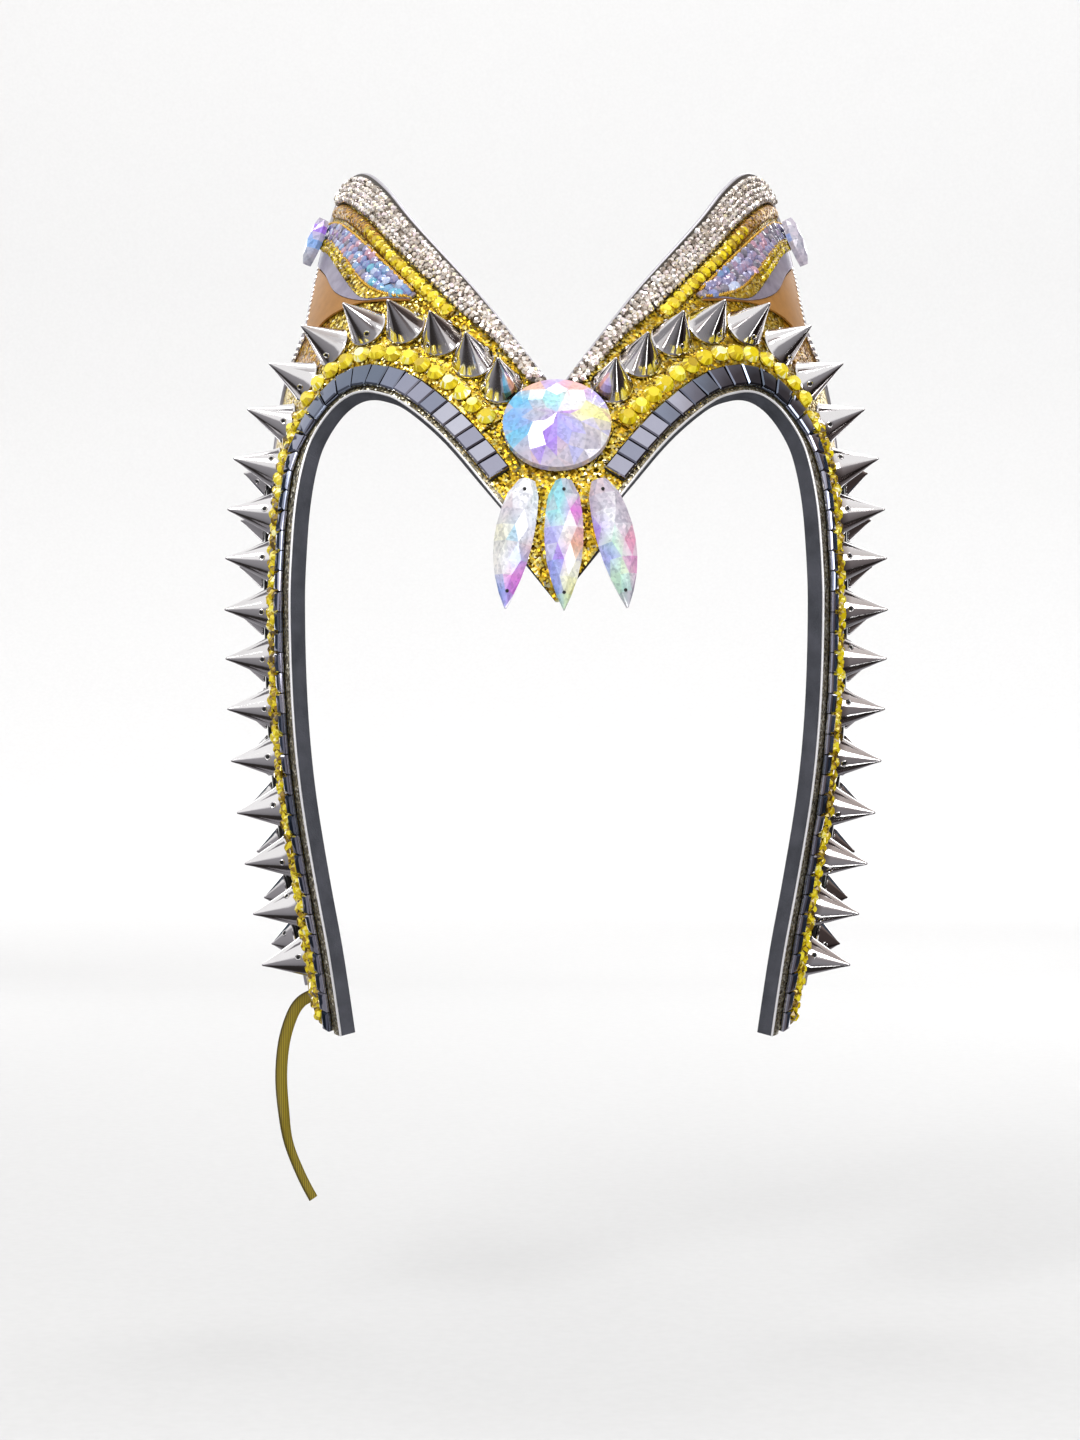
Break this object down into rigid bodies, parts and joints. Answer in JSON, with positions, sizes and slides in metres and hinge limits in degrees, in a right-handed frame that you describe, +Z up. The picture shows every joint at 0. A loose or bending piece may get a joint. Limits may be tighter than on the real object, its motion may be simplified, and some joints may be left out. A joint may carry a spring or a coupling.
{
  "type": "spiked jewelled carnival headdress",
  "caption": "Open-faced foam carnival headdress with two wing peaks, cone spikes, mirror tiles, yellow stones, crystal mesh and iridescent brow stones.",
  "frame": {"origin": "inner face of the brow, in the middle, at the height of the round stone, where the headdress rests against a forehead", "axes": "+Z up, -Y the way the face looks, +X to the right as seen from the front"},
  "size_m": [0.1608, 0.1011, 0.2599],
  "materials": {
    "foam": "black EVA foam, with gold glitter film on its outer face",
    "gold_glitter": "coarse gold glitter",
    "mirror_tile": "small silvered glass tiles on a tape",
    "yellow_stone": "foil-backed yellow stones on gold braid",
    "chromed_spike": "dark chromed plastic",
    "crystal_mesh": "silver rhinestone mesh",
    "iridescent_stone": "cut acrylic with an iridescent coating",
    "wing_inlay": "iridescent, gold, lilac and amber stones on a thin backing",
    "satin_ribbon": "olive-gold satin"
  },
  "bodies": {
    "root": {"base_shell": "foam", "centre_plaque": "gold_glitter", "centre_stone": "iridescent_stone", "drop_left": "iridescent_stone", "drop_centre": "iridescent_stone", "drop_right": "iridescent_stone", "mirror_strip_left": "mirror_tile", "mirror_strip_right": "mirror_tile", "gold_row_left": "yellow_stone", "gold_row_right": "yellow_stone", "spike_left_01": "chromed_spike", "spike_left_02": "chromed_spike", "spike_left_03": "chromed_spike", "spike_left_04": "chromed_spike", "spike_left_05": "chromed_spike", "spike_left_06": "chromed_spike", "spike_left_07": "chromed_spike", "spike_left_08": "chromed_spike", "spike_left_09": "chromed_spike", "spike_left_10": "chromed_spike", "spike_left_11": "chromed_spike", "spike_left_12": "chromed_spike", "spike_left_13": "chromed_spike", "spike_left_14": "chromed_spike", "spike_left_15": "chromed_spike", "spike_left_16": "chromed_spike", "spike_left_17": "chromed_spike", "spike_left_18": "chromed_spike", "spike_left_19": "chromed_spike", "spike_right_01": "chromed_spike", "spike_right_02": "chromed_spike", "spike_right_03": "chromed_spike", "spike_right_04": "chromed_spike", "spike_right_05": "chromed_spike", "spike_right_06": "chromed_spike", "spike_right_07": "chromed_spike", "spike_right_08": "chromed_spike", "spike_right_09": "chromed_spike", "spike_right_10": "chromed_spike", "spike_right_11": "chromed_spike", "spike_right_12": "chromed_spike", "spike_right_13": "chromed_spike", "spike_right_14": "chromed_spike", "spike_right_15": "chromed_spike", "spike_right_16": "chromed_spike", "spike_right_17": "chromed_spike", "spike_right_18": "chromed_spike", "spike_right_19": "chromed_spike", "rear_spike_row_left": "chromed_spike", "rear_spike_row_right": "chromed_spike", "crystal_band_left": "crystal_mesh", "crystal_band_right": "crystal_mesh", "wing_stone_row_left": "yellow_stone", "wing_stone_row_right": "yellow_stone", "wing_inlay_left": "wing_inlay", "wing_inlay_right": "wing_inlay", "wing_edge_stone_left": "iridescent_stone", "wing_edge_stone_right": "iridescent_stone", "tie_ribbon": "satin_ribbon"}
  },
  "joints": []
}
